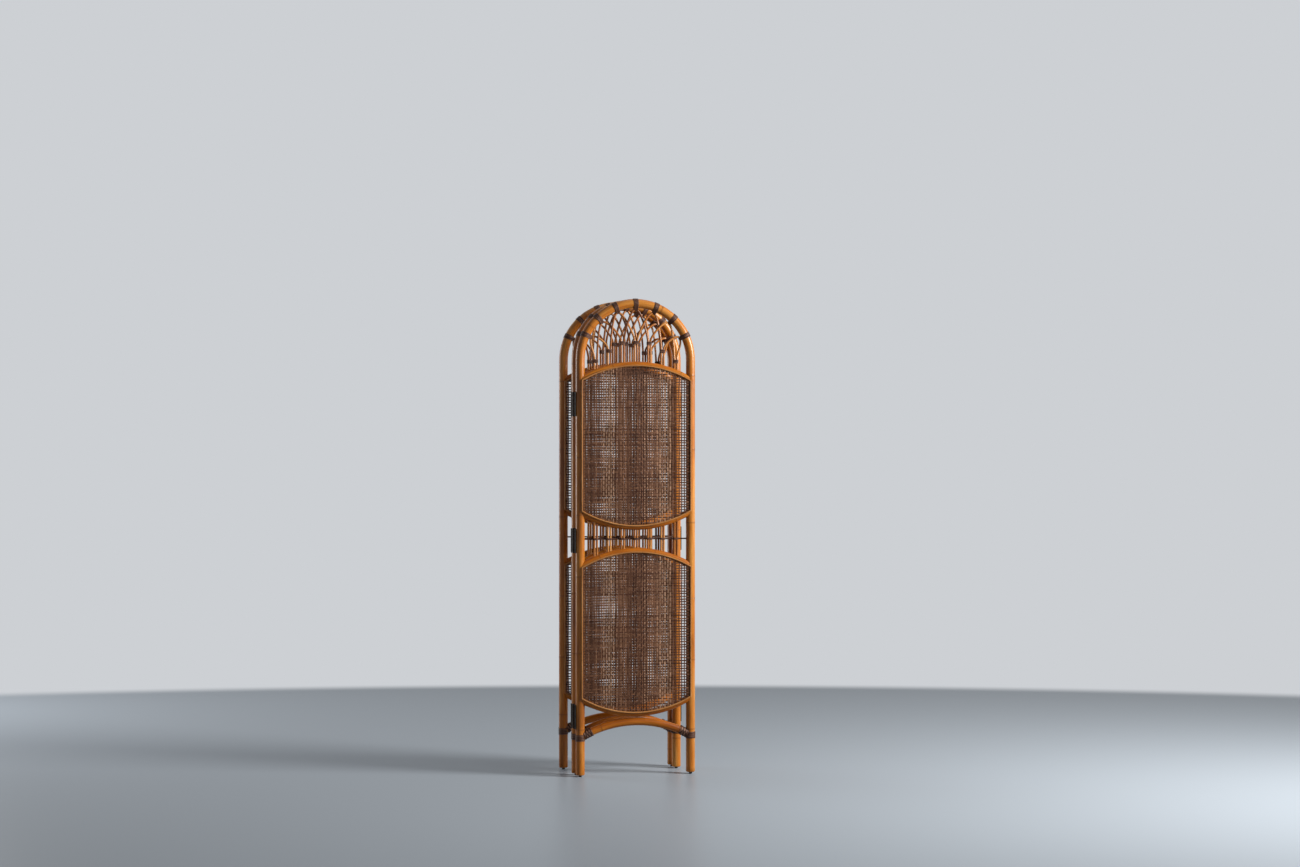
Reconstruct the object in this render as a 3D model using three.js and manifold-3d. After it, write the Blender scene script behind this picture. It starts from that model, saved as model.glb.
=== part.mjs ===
// A folding room divider screen: three panels of bent rattan pole, hinged in a zigzag.
//
// Each panel is one pole bent into a tall arch, held by four curved rails and a foot stretcher.
// Two open-woven mats are nailed over the rails under half-round beads. Paired canes stand in the
// gallery between the mats, and above the upper mat they part, cross and bend into seven
// interlaced hoops that are lashed to the arch.
//
// Millimetres, +Z up. Every panel is modelled in its own frame: X along the panel, -Y towards the
// side that the mats are on, and the two posts at X = +-POST_SPACING / 2. The front panel's X axis
// is the screen's, and the origin is on the floor in the middle of the screen's outline.
import * as THREE from "three";
import { mergeVertices } from "three/addons/utils/BufferGeometryUtils.js";
import Module from "manifold-3d";

const wasm = await Module();
wasm.setup();

// ---- Driving dimensions ----

// Heights, from the floor up
const GLIDE_HEIGHT = 6;
const STRETCHER_END = 147; // centre line of the foot stretcher where it meets a post
const LOWEST_RAIL = 235; // centre line of the lowest rail at mid-span
const MAT_HEIGHT = 612; // between the centre lines of a mat's two rails at mid-span
const GALLERY_HEIGHT = 92; // between the two rails that the gallery stands in, at mid-span
const LATTICE_HEIGHT = 231.5; // from the highest rail to the arch's centre line, at mid-span

// The frame
const POST_SPACING = 425; // between the centre lines of a panel's two posts
const POLE_DIAMETER = 35;
const POLE_CHAMFER = 3;
const RAIL_DIAMETER = 25;
const RAIL_SAGITTA = 58; // how far a rail bows between the posts
const RAIL_FORWARD = 5; // brings the rails' fronts level with the posts' fronts
const RAIL_END_INSET = 8; // a rail stops this far from the post's centre line
const STRETCHER_DIAMETER = 30;
const STRETCHER_SAGITTA = 56;
const JOINT_GAP = 0.3; // between pieces that touch

// The mats
const MAT_THICKNESS = 1.8;
const BEAD_WIDTH = 6;
const BEAD_HEIGHT = 3.3;
const BEAD_CROWN = 3; // width of the bead's rounded top
const BEAD_INSET = 3.5; // from a rail's or post's centre line to the bead's

// The canes of the gallery and the lattice
const CANE_DIAMETER = 8;
const CANE_SPACING = 10; // between the two canes of a pair
const PAIRS = 7;
const TIE_THICKNESS = 1.5; // of the winding round a pair
const GALLERY_TIE_LENGTH = 8;
const GALLERY_ROD_DIAMETER = 5.5;
const LATTICE_TIE_LENGTH = 16;
const PARTING_HEIGHTS = [80, 81, 61, 39]; // above the rail, from the middle pair outwards
const PARTING_ABOVE_TIE = 2; // the canes of a pair part this far above their tie
const CROWN_STEP = 21.5; // degrees along the arch from one hoop's crown to the next
const CROWN_REACH = 24; // how far a hoop follows the arch before it bends down
const HOOP_START = 18; // how far a cane runs on upwards before it leans over
const HOOP_OFFSET = 6; // how far crossing canes swing to the front and to the back
const BAND_LENGTH = 21; // along the arch, of the winding that ties a crown to it
const BAND_THICKNESS = 1.6;

// The lashings at the foot stretcher's ends
const LASHING_HEIGHT = 28;
const LASHING_THICKNESS = 1.4;
const LASHING_REACH = 30; // how far it covers the stretcher, from the post's surface

// The hinges, three on each line, and the glides
const HINGE_LEVELS = { bottom: 225, middle: 887, top: 1402 };
const HINGE_HEIGHT = 92;
const PIN_DIAMETER = 5;
const PIN_STAND = 2; // how far the pin stands out of the end knuckles
const PIN_OUT = 19.5; // from the post's centre line, along the panel
const PIN_BACK = 24; // from the post's centre line, across the panel
const KNUCKLE_DIAMETER = 9;
const KNUCKLE_GAP = 1;
const MIDDLE_KNUCKLE = 38;
const LEAF_THICKNESS = 2.2;
const LEAF_REACH = 8; // how far a leaf runs past the post's centre line
const LEAF_SETBACK = 0.8; // from the pin's centre line to the leaf's outer face
const LEAF_RELIEF = 5.2; // a leaf's edge keeps this far from the pin beside the other knuckle
const GLIDE_DIAMETER = 12;
const GLIDE_CHAMFER = 1;

// How far two neighbouring panels stand open, in degrees: 0 is folded flat and 180 is straight
const FRONT_OPENING = 14.6; // front and middle panels
const REAR_OPENING = 15.8; // middle and rear panels

// Facets
const POLE_SIDES = 12;
const RAIL_SIDES = 8;
const CANE_SIDES = 5;
const HINGE_SIDES = 8;
const ARCH_STEPS = 18;
const RAIL_STEPS = 6;
const EDGE_STEPS = 6; // along a mat's curved edge
const HOOP_STEPS = 3; // along each half of a hoop

// ---- What follows from them ----

const HALF_SPACING = POST_SPACING / 2;
const PAIR_WIDTH = CANE_SPACING + CANE_DIAMETER + 2 * TIE_THICKNESS;
const BETWEEN_PAIRS = (POST_SPACING - POLE_DIAMETER - PAIRS * PAIR_WIDTH) / (PAIRS + 1);
const PAIR_PITCH = PAIR_WIDTH + BETWEEN_PAIRS; // the end pairs stand as far from the posts
const OUTER_PAIR = (PAIRS - 1) / 2; // pairs and hoops count from -OUTER_PAIR, with 0 in the middle
const MAT_CENTRES = {
  lower: LOWEST_RAIL + MAT_HEIGHT / 2,
  upper: LOWEST_RAIL + MAT_HEIGHT * 1.5 + GALLERY_HEIGHT,
};
const GALLERY_CENTRE = LOWEST_RAIL + MAT_HEIGHT + GALLERY_HEIGHT / 2;
const TOP_RAIL = MAT_CENTRES.upper + MAT_HEIGHT / 2;
const SPRING_LINE = TOP_RAIL + LATTICE_HEIGHT - HALF_SPACING;
const RAIL_BEND = bendRadius(RAIL_SAGITTA);
const STRETCHER_BEND = bendRadius(STRETCHER_SAGITTA);
const POLE_WITH_GAP = POLE_DIAMETER + 2 * JOINT_GAP;
const MAT_BACK = -POLE_WITH_GAP / 2;
const BEAD_BACK = MAT_BACK - MAT_THICKNESS - JOINT_GAP;

// ---- Materials ----

const look = (color, roughness, metalness = 0) =>
  new THREE.MeshStandardMaterial({ color, roughness, metalness, flatShading: true });
const poleRattan = look(0xc07a32, 0.4);
const caneRattan = look(0xb87a45, 0.5);
const beadRattan = look(0xc39a62, 0.5);
const wovenMat = look(0x5d493a, 0.85);
const binding = look(0x46302a, 0.65);
const agedSteel = look(0x7d7468, 0.45, 0.85);
const blackNylon = look(0x1d1b1a, 0.55);

// ---- Joining and cutting ----

function toSolid(geometry) {
  const bare = geometry.clone();
  bare.deleteAttribute("normal");
  bare.deleteAttribute("uv");
  const merged = mergeVertices(bare);
  const vertProperties = merged.attributes.position.array;
  const triVerts = new Uint32Array(merged.index.array);
  return new wasm.Manifold(new wasm.Mesh({ numProp: 3, vertProperties, triVerts }));
}

function toGeometry(solid) {
  const { vertProperties, triVerts } = solid.getMesh();
  return new THREE.BufferGeometry()
    .setAttribute("position", new THREE.BufferAttribute(vertProperties, 3))
    .setIndex(new THREE.BufferAttribute(triVerts, 1));
}

const join = (...pieces) => toGeometry(pieces.map(toSolid).reduce((sum, piece) => sum.add(piece)));

const cut = (piece, ...tools) =>
  toGeometry(tools.map(toSolid).reduce((rest, tool) => rest.subtract(tool), toSolid(piece)));

// ---- Paths ----

const point = (x, y, z) => new THREE.Vector3(x, y, z);
const line = (from, to) => new THREE.LineCurve3(from, to);

// The radius of an arc that rises by the sagitta between the two posts' centre lines.
function bendRadius(sagitta) {
  return (HALF_SPACING ** 2 + sagitta ** 2) / (2 * sagitta);
}

// A circular arc in the panel's plane. Angles are in radians: 0 is along +X, a quarter turn is up.
class PanelArc extends THREE.Curve {
  constructor(centre, radius, from, to) {
    super();
    Object.assign(this, { centre, radius, from, to });
  }

  getPoint(t) {
    const angle = THREE.MathUtils.lerp(this.from, this.to, t);
    const { x, y, z } = this.centre;
    return point(x + this.radius * Math.cos(angle), y, z + this.radius * Math.sin(angle));
  }
}

// An arc of the given bend whose centre line would be highest at (0, y, 0). It is moved inwards by
// the inset and stops at the end inset from the posts' centre lines.
function bow(bend, inset, endInset, y) {
  const radius = bend - inset;
  const half = Math.asin((HALF_SPACING - endInset) / radius);
  return new PanelArc(point(0, y, -bend), radius, Math.PI / 2 + half, Math.PI / 2 - half);
}

// How far a rail's centre line is below its highest point at x.
const railDrop = (x) => RAIL_BEND - Math.sqrt(RAIL_BEND ** 2 - x ** 2);

// Curves joined end to end, each given as [curve, steps]. What is swept along the path takes as
// many steps on each curve as it is given, so that straight runs take few.
class Path extends THREE.Curve {
  constructor(...pieces) {
    super();
    this.pieces = pieces;
    this.steps = pieces.reduce((sum, [, steps]) => sum + steps, 0);
  }

  getPoint(t) {
    let passed = 0;
    for (const [curve, steps] of this.pieces) {
      const along = t * this.steps - passed;
      if (along <= steps) return curve.getPoint(along / steps);
      passed += steps;
    }
    return this.pieces.at(-1)[0].getPoint(1);
  }

  getPointAt(u) {
    return this.getPoint(u);
  }

  getTangentAt(u, target) {
    return this.getTangent(u, target);
  }
}

// ---- Basic forms ----

const ring = (radius, sides) =>
  Array.from({ length: sides }, (_, i) => {
    const angle = (i * 2 * Math.PI) / sides;
    return new THREE.Vector2(radius * Math.cos(angle), radius * Math.sin(angle));
  });

const toOutline = (points) => new THREE.Shape(points.map(([x, y]) => new THREE.Vector2(x, y)));

// A section swept along a path that runs to the right or downwards in the panel's plane. The
// section's first axis points to the front. Its second points down on a path to the right, and to
// the left on a path that runs downwards.
const sweep = (section, path) =>
  new THREE.ExtrudeGeometry(section, { steps: path.steps, extrudePath: path });

const tube = (path, diameter, sides) => sweep(new THREE.Shape(ring(diameter / 2, sides)), path);

const rod = (from, to, diameter, sides) => tube(new Path([line(from, to), 1]), diameter, sides);

// A flat shape in the XY plane, thickened half to either side of it.
const plate = (shape, thickness) =>
  new THREE.ExtrudeGeometry(shape, { depth: thickness, bevelEnabled: false }).translate(
    0,
    0,
    -thickness / 2,
  );

// The winding round a pair of canes, and round whatever thickness lies behind them.
function tie(height, behind = 0) {
  const front = CANE_DIAMETER / 2 + TIE_THICKNESS;
  const back = front + behind;
  const x = (CANE_SPACING + CANE_DIAMETER) / 2 + TIE_THICKNESS;
  const flat = (CANE_SPACING + TIE_THICKNESS) / 2;
  const outline = [[flat, -front], [x, 0], [flat, back], [-flat, back], [-x, 0], [-flat, -front]];
  return plate(toOutline(outline), height);
}

// ---- The frame: one pole bent into a post, an arch and a post ----

function frame(hingedSides) {
  const foot = (x) => point(x, 0, GLIDE_HEIGHT);
  const spring = (x) => point(x, 0, SPRING_LINE);
  const path = new Path(
    [line(foot(-HALF_SPACING), spring(-HALF_SPACING)), 1],
    [new PanelArc(point(0, 0, SPRING_LINE), HALF_SPACING, Math.PI, 0), ARCH_STEPS],
    [line(spring(HALF_SPACING), foot(HALF_SPACING)), 1],
  );
  const chamfers = [-HALF_SPACING, HALF_SPACING].map((x) => footChamfer().translate(x, 0, 0));
  const flats = hingedSides.flatMap((side) =>
    Object.values(HINGE_LEVELS).map((level) => hingeFlat(side, level)),
  );
  return cut(tube(path, POLE_DIAMETER, POLE_SIDES), ...chamfers, ...flats);
}

// Takes the sharp edge off a post's lower end.
function footChamfer() {
  const inside = POLE_DIAMETER / 2 - POLE_CHAMFER;
  const outside = POLE_DIAMETER / 2 + POLE_CHAMFER;
  const profile = [
    [inside, GLIDE_HEIGHT],
    [inside, 0],
    [outside, 0],
    [outside, GLIDE_HEIGHT + 2 * POLE_CHAMFER],
    [inside, GLIDE_HEIGHT],
  ].map(([radius, height]) => new THREE.Vector2(radius, height));
  return new THREE.LatheGeometry(profile, POLE_SIDES).rotateX(Math.PI / 2);
}

// The flat that a hinge leaf is let into, on the outer side of a post.
function hingeFlat(side, level) {
  const seat = PIN_OUT - LEAF_SETBACK - LEAF_THICKNESS - JOINT_GAP;
  const flat = new THREE.BoxGeometry(
    POLE_DIAMETER,
    2 * POLE_DIAMETER,
    HINGE_HEIGHT + 2 * JOINT_GAP,
  );
  return flat.translate(side * (HALF_SPACING + seat + POLE_DIAMETER / 2), 0, level);
}

// ---- Rails and foot stretcher, their ends coped to the posts ----

// Both posts with their clearance, long enough to cope any piece about its own middle.
const postsWithGap = [-HALF_SPACING, HALF_SPACING].map((x) =>
  rod(point(x, 0, -SPRING_LINE), point(x, 0, SPRING_LINE), POLE_WITH_GAP, POLE_SIDES),
);

const railPath = new Path([bow(RAIL_BEND, 0, RAIL_END_INSET, -RAIL_FORWARD), RAIL_STEPS]);
const stretcherPath = new Path([bow(STRETCHER_BEND, 0, RAIL_END_INSET, 0), RAIL_STEPS]);

// A rail bows up to height 0 in the middle. Turned over, it is the rail under a mat.
const rail = () => cut(tube(railPath, RAIL_DIAMETER, RAIL_SIDES), ...postsWithGap);

const stretcher = () => cut(tube(stretcherPath, STRETCHER_DIAMETER, RAIL_SIDES), ...postsWithGap);

// What a rail takes off the canes that stand on it. It follows the rail's bow and runs well below,
// so that a cane may start anywhere under the rail.
function saddle() {
  const reach = RAIL_DIAMETER / 2 + JOINT_GAP;
  const depth = RAIL_SAGITTA + RAIL_DIAMETER;
  const section = toOutline([[-reach, -reach], [reach, -reach], [reach, depth], [-reach, depth]]);
  return sweep(section, railPath);
}

// The right-hand lashing about the stretcher's highest point: a band round the post and a sleeve
// over the stretcher's end.
function stretcherLashing() {
  const cover = 2 * (JOINT_GAP + LASHING_THICKNESS);
  const height = (x) => Math.sqrt(STRETCHER_BEND ** 2 - x ** 2) - STRETCHER_BEND;
  const onStretcher = (x) => point(x, 0, height(x));
  const onPost = (z) => point(HALF_SPACING, 0, z - STRETCHER_SAGITTA);
  const inner = HALF_SPACING - POLE_DIAMETER / 2 - LASHING_REACH;
  const outer = HALF_SPACING - RAIL_END_INSET;
  const band = rod(
    onPost(-LASHING_HEIGHT / 2),
    onPost(LASHING_HEIGHT / 2),
    POLE_DIAMETER + cover,
    POLE_SIDES,
  );
  const sleeve = rod(
    onStretcher(inner),
    onStretcher(outer),
    STRETCHER_DIAMETER + cover,
    RAIL_SIDES,
  );
  const hollow = tube(stretcherPath, STRETCHER_DIAMETER + 2 * JOINT_GAP, RAIL_SIDES);
  return cut(join(band, sleeve), hollow, ...postsWithGap);
}

// ---- Mats and beads, about the middle of the mat ----

// The mat's edges lie on the centre lines of its two rails and of the posts.
function mat() {
  const edge = bow(RAIL_BEND, 0, 0, 0).getPoints(EDGE_STEPS);
  const top = edge.map((p) => [p.x, p.z + MAT_HEIGHT / 2]);
  const bottom = top.map(([x, z]) => [-x, -z]);
  return plate(toOutline([...top, ...bottom]), MAT_THICKNESS)
    .rotateX(Math.PI / 2)
    .translate(0, MAT_BACK - MAT_THICKNESS / 2, 0);
}

// Four half-round strips: two bent along the rails and two straight along the posts.
function bead() {
  const edge = bow(RAIL_BEND, BEAD_INSET, BEAD_INSET, BEAD_BACK);
  edge.centre.z += MAT_HEIGHT / 2;
  const corner = edge.getPoint(1);
  const side = line(corner, point(corner.x, corner.y, -corner.z));
  const section = toOutline([
    [0, -BEAD_WIDTH / 2],
    [BEAD_HEIGHT, -BEAD_CROWN / 2],
    [BEAD_HEIGHT, BEAD_CROWN / 2],
    [0, BEAD_WIDTH / 2],
  ]);
  const topAndRight = join(
    sweep(section, new Path([edge, EDGE_STEPS])),
    sweep(section, new Path([side, 1])),
  );
  return join(topAndRight, topAndRight.clone().rotateY(Math.PI));
}

// ---- Gallery: pairs of canes tied to a rod, about the gallery's middle ----

function gallery() {
  const y = -RAIL_FORWARD;
  const rodY = y + (CANE_DIAMETER + GALLERY_ROD_DIAMETER) / 2; // behind the canes
  const reach = GALLERY_HEIGHT / 2 + RAIL_SAGITTA;
  const pieces = [
    rod(
      point(-HALF_SPACING, rodY, 0),
      point(HALF_SPACING, rodY, 0),
      GALLERY_ROD_DIAMETER,
      CANE_SIDES,
    ),
  ];
  for (let pair = -OUTER_PAIR; pair <= OUTER_PAIR; pair++) {
    const middle = pair * PAIR_PITCH;
    for (const x of [middle - CANE_SPACING / 2, middle + CANE_SPACING / 2])
      pieces.push(rod(point(x, y, -reach), point(x, y, reach), CANE_DIAMETER, CANE_SIDES));
    pieces.push(tie(GALLERY_TIE_LENGTH, GALLERY_ROD_DIAMETER).translate(middle, y, 0));
  }
  const below = saddle().translate(0, 0, -GALLERY_HEIGHT / 2);
  const above = below.clone().rotateY(Math.PI);
  return cut(join(...pieces), below, above, ...postsWithGap);
}

// ---- Arch lattice: seven hoops that interlace above the upper mat ----

// A band is straight and the arch it grips is bent and faceted, so the band's bore is wider by
// this much and lies this much further in.
const BAND_EASE =
  (HALF_SPACING * (1 - Math.cos(Math.PI / ARCH_STEPS / 2)) +
    BAND_LENGTH ** 2 / (8 * HALF_SPACING)) / 2;
const BAND_BORE = POLE_DIAMETER / 2 + JOINT_GAP + BAND_EASE;

// Turns what is made about the arch's highest point to a hoop's crown.
const crownTurn = (hoopIndex) => THREE.MathUtils.degToRad(hoopIndex * CROWN_STEP);

// A point near a hoop's crown: so far along the arch, and so far in from the arch's centre line.
function crownPoint(hoopIndex, along, inwards) {
  const radius = HALF_SPACING - inwards;
  return point(along, 0, radius)
    .applyAxisAngle(point(0, 1, 0), crownTurn(hoopIndex))
    .add(point(0, 0, SPRING_LINE));
}

// Each hoop stands on the pairs to its left and right, in the nearer cane of each. Beyond the
// outermost pairs there is none, so the end hoops stand in those pairs' outer canes.
function hoopFoot(hoopIndex, side) {
  const atEnd = hoopIndex * side === OUTER_PAIR;
  const pair = atEnd ? hoopIndex : hoopIndex + side;
  const cane = (atEnd ? side : -side) * (CANE_SPACING / 2);
  return { x: pair * PAIR_PITCH + cane, parting: partingHeight(pair) };
}

// Where the two canes of a pair part.
function partingHeight(pair) {
  const railTop = TOP_RAIL - railDrop(pair * PAIR_PITCH) + RAIL_DIAMETER / 2;
  return railTop + PARTING_HEIGHTS[Math.abs(pair)];
}

// One bent cane: up in front from its left foot, over its crown, and down behind to its right foot.
function hoop(hoopIndex) {
  const inwards = BAND_BORE + BAND_EASE + CANE_DIAMETER / 2;
  const top = crownPoint(hoopIndex, 0, inwards);
  const half = (side) => {
    const { x, parting } = hoopFoot(hoopIndex, side);
    const swing = point(0, side * HOOP_OFFSET, 0);
    const bottom = point(x, -RAIL_FORWARD, parting);
    return {
      ground: point(x, -RAIL_FORWARD, TOP_RAIL - RAIL_SAGITTA),
      bottom,
      lean: point(x, -RAIL_FORWARD, parting + HOOP_START).add(swing),
      shoulder: crownPoint(hoopIndex, side * CROWN_REACH, inwards).add(swing),
    };
  };
  const left = half(-1);
  const right = half(1);
  const rise = new THREE.CubicBezierCurve3(left.bottom, left.lean, left.shoulder, top);
  const fall = new THREE.CubicBezierCurve3(top, right.shoulder, right.lean, right.bottom);
  const path = new Path(
    [line(left.ground, left.bottom), 1],
    [rise, HOOP_STEPS],
    [fall, HOOP_STEPS],
    [line(right.bottom, right.ground), 1],
  );
  return tube(path, CANE_DIAMETER, CANE_SIDES);
}

// The winding that binds a crown to the arch. Seen along the arch it goes round the pole, with a
// lobe round the cane under it.
function crownBand(hoopIndex) {
  const lobe = BAND_BORE + CANE_DIAMETER + BAND_THICKNESS;
  const outer = ring(BAND_BORE + BAND_THICKNESS, POLE_SIDES);
  // The ring runs from its front over its top. Its lowest point makes way for the lobe.
  const lowest = (3 * POLE_SIDES) / 4;
  outer.splice(
    lowest,
    1,
    new THREE.Vector2(-CANE_DIAMETER / 2, -lobe),
    new THREE.Vector2(CANE_DIAMETER / 2, -lobe),
  );
  const shape = new THREE.Shape(outer);
  shape.holes.push(new THREE.Path(ring(BAND_BORE, POLE_SIDES)));
  return plate(shape, BAND_LENGTH)
    .rotateX(Math.PI / 2)
    .rotateZ(Math.PI / 2)
    .translate(0, 0, HALF_SPACING - BAND_EASE)
    .rotateY(crownTurn(hoopIndex))
    .translate(0, 0, SPRING_LINE);
}

function lattice() {
  const pieces = [];
  for (let i = -OUTER_PAIR; i <= OUTER_PAIR; i++) {
    const height = partingHeight(i) - PARTING_ABOVE_TIE - LATTICE_TIE_LENGTH / 2;
    const wrap = tie(LATTICE_TIE_LENGTH).translate(i * PAIR_PITCH, -RAIL_FORWARD, height);
    pieces.push(hoop(i), crownBand(i), wrap);
  }
  return cut(join(...pieces), saddle().translate(0, 0, TOP_RAIL));
}

// ---- Hinges and glides ----

// One leaf of a hinge, about its pin. The post is towards -X, and the leaf runs towards -Y. Its
// edge is cut back beside the other leaf's knuckle.
function hingeLeaf(hasPin) {
  const half = HINGE_HEIGHT / 2;
  const far = -PIN_BACK - LEAF_REACH;
  const notch = MIDDLE_KNUCKLE / 2 + (hasPin ? KNUCKLE_GAP : 0);
  const [endEdge, middleEdge] = hasPin ? [0, -LEAF_RELIEF] : [-LEAF_RELIEF, 0];
  const outline = toOutline([
    [far, half],
    [far, -half],
    [endEdge, -half],
    [endEdge, -notch],
    [middleEdge, -notch],
    [middleEdge, notch],
    [endEdge, notch],
    [endEdge, half],
  ]);
  // The outline's axes turn into Y and Z, and its thickness runs along X.
  const leaf = plate(outline, LEAF_THICKNESS)
    .rotateX(Math.PI / 2)
    .rotateZ(Math.PI / 2)
    .translate(-LEAF_SETBACK - LEAF_THICKNESS / 2, 0, 0);
  const upright = (from, to, diameter, sides) =>
    rod(point(0, 0, from), point(0, 0, to), diameter, sides);
  const spans = hasPin ? [[-half, -notch], [notch, half]] : [[-notch, notch]];
  const knuckles = spans.map(([from, to]) => upright(from, to, KNUCKLE_DIAMETER, HINGE_SIDES));
  const pinEnd = half + PIN_STAND;
  // The bore's flats, not its corners, clear the pin, which turns in it.
  const boreDiameter = (PIN_DIAMETER + 2 * JOINT_GAP) / Math.cos(Math.PI / HINGE_SIDES);
  return hasPin
    ? join(leaf, ...knuckles, upright(-pinEnd, pinEnd, PIN_DIAMETER, HINGE_SIDES))
    : cut(join(leaf, ...knuckles), upright(-pinEnd, pinEnd, boreDiameter, HINGE_SIDES));
}

function glide() {
  const radius = GLIDE_DIAMETER / 2;
  const top = GLIDE_HEIGHT - JOINT_GAP;
  const profile = [
    [0, 0],
    [radius - GLIDE_CHAMFER, 0],
    [radius, GLIDE_CHAMFER],
    [radius, top],
    [0, top],
  ].map(([x, height]) => new THREE.Vector2(x, height));
  return new THREE.LatheGeometry(profile, 8).rotateX(Math.PI / 2);
}

// ---- Assembly ----

// Identical pieces are made once.
const shapes = {
  rail: rail(),
  stretcher: stretcher(),
  lashing: stretcherLashing(),
  mat: mat(),
  bead: bead(),
  gallery: gallery(),
  lattice: lattice(),
  glide: glide(),
  pinLeaf: hingeLeaf(true),
  plainLeaf: hingeLeaf(false),
};

function part(name, geometry, material, height = 0) {
  const mesh = new THREE.Mesh(geometry, material.clone());
  mesh.name = name;
  mesh.position.z = height;
  return mesh;
}

// One mat with its bead and the two rails that it is nailed to.
function matField(name, level) {
  const bottomRail = part(`${name}_${level}_bottom_rail`, shapes.rail, poleRattan, -MAT_HEIGHT / 2);
  bottomRail.rotation.y = Math.PI;
  const group = new THREE.Group();
  group.position.z = MAT_CENTRES[level];
  return group.add(
    part(`${name}_${level}_top_rail`, shapes.rail, poleRattan, MAT_HEIGHT / 2),
    bottomRail,
    part(`${name}_${level}_mat`, shapes.mat, wovenMat),
    part(`${name}_${level}_bead`, shapes.bead, beadRattan),
  );
}

function panel(name, hingedSides) {
  const stretcherTop = STRETCHER_END + STRETCHER_SAGITTA;
  const group = new THREE.Group().add(
    part(`${name}_frame`, frame(hingedSides), poleRattan),
    matField(name, "lower"),
    matField(name, "upper"),
    part(`${name}_foot_stretcher`, shapes.stretcher, poleRattan, stretcherTop),
    part(`${name}_gallery`, shapes.gallery, caneRattan, GALLERY_CENTRE),
    part(`${name}_arch_lattice`, shapes.lattice, caneRattan),
  );
  for (const [side, sign] of Object.entries({ left: -1, right: 1 })) {
    const lashing = part(`${name}_${side}_lashing`, shapes.lashing, binding, stretcherTop);
    lashing.rotation.z = sign < 0 ? Math.PI : 0;
    const foot = part(`${name}_${side}_glide`, shapes.glide, blackNylon);
    foot.position.x = sign * HALF_SPACING;
    group.add(lashing, foot);
  }
  return group;
}

// A hinge line's place on a panel. The side is that of the post, -1 left or 1 right. The face is
// the one that the panels fold together on, -1 for their mat sides or 1 for their backs.
const hingePlace = (side, face, level = 0) =>
  point(side * (HALF_SPACING + PIN_OUT), face * PIN_BACK, level);

// Screws a leaf to a post. A leaf is symmetrical about its mid-height, so half turns fit it.
function addLeaf(panelGroup, leaf, side, face, level) {
  leaf.position.copy(hingePlace(side, face, level));
  leaf.rotation.x = side * face > 0 ? 0 : Math.PI;
  leaf.rotation.z = side > 0 ? 0 : Math.PI;
  panelGroup.add(leaf);
}

// Hangs the next panel's right post on a panel's left post, with three hinges.
function hang(name, panelGroup, nextGroup, face, opening) {
  for (const [levelName, level] of Object.entries(HINGE_LEVELS)) {
    const hingeName = `${name}_hinge_${levelName}`;
    const pinLeaf = part(`${hingeName}_pin_leaf`, shapes.pinLeaf, agedSteel);
    const plainLeaf = part(`${hingeName}_leaf`, shapes.plainLeaf, agedSteel);
    addLeaf(panelGroup, pinLeaf, -1, face, level);
    addLeaf(nextGroup, plainLeaf, 1, face, level);
  }
  const pivot = new THREE.Group().add(nextGroup);
  pivot.position.copy(hingePlace(-1, face));
  pivot.rotation.z = face * THREE.MathUtils.degToRad(180 + opening);
  nextGroup.position.copy(hingePlace(1, face)).negate();
  panelGroup.add(pivot);
}

const frontPanel = panel("front", [-1]);
const middlePanel = panel("middle", [-1, 1]);
const rearPanel = panel("rear", [1]);
hang("front", frontPanel, middlePanel, 1, FRONT_OPENING);
hang("rear", middlePanel, rearPanel, -1, REAR_OPENING);

const screen = new THREE.Group().add(frontPanel);
screen.updateMatrixWorld(true);
const middle = new THREE.Box3().setFromObject(screen, true).getCenter(point(0, 0, 0));
screen.position.set(-middle.x, -middle.y, 0);

export default screen;
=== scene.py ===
"""A folding screen of bent rattan: three arched panels with woven mats, hinged in a zigzag."""

import math
import random

import bmesh
import bpy
from mathutils import Matrix, Vector


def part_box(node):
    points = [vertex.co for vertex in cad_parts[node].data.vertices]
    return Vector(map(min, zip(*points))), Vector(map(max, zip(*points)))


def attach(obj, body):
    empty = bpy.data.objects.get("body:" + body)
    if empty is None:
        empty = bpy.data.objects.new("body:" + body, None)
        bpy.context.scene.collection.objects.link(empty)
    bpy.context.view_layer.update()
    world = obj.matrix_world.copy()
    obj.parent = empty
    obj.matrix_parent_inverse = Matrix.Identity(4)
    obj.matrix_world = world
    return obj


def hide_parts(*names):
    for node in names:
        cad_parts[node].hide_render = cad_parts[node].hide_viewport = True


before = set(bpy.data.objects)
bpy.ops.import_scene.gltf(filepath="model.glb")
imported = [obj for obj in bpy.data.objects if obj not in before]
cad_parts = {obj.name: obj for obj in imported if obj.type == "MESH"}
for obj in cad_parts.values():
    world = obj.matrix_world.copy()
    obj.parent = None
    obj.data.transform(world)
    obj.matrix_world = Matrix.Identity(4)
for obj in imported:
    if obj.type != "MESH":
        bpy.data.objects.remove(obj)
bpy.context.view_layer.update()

chance = random.Random(12)

# ---- The three panels ----
# A panel stands on two posts, each over a glide. In a panel's own axes X runs from its left post to
# its right one, Y from the side that its mats are on to its back, and Z up from the floor.


def middle_of(node):
    low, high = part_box(node)
    return (low + high) / 2


panels = {}
for panel in ("front", "middle", "rear"):
    left_foot = middle_of(f"{panel}_left_glide")
    right_foot = middle_of(f"{panel}_right_glide")
    span = right_foot - left_foot
    centre = (left_foot + right_foot) / 2
    centre.z = 0
    panels[panel] = Matrix.Translation(centre) @ Matrix.Rotation(math.atan2(span.y, span.x), 4, "Z")

POST_X = span.length / 2
ACROSS = Vector((0, 1, 0))


# ---- Frame poles ----
# Each panel's frame is one stripped and varnished rattan pole, steamed and bent into a post, an arch
# and a post. The stalk's joints show as low rings with a dark line, 19 to 32 cm apart.

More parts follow.
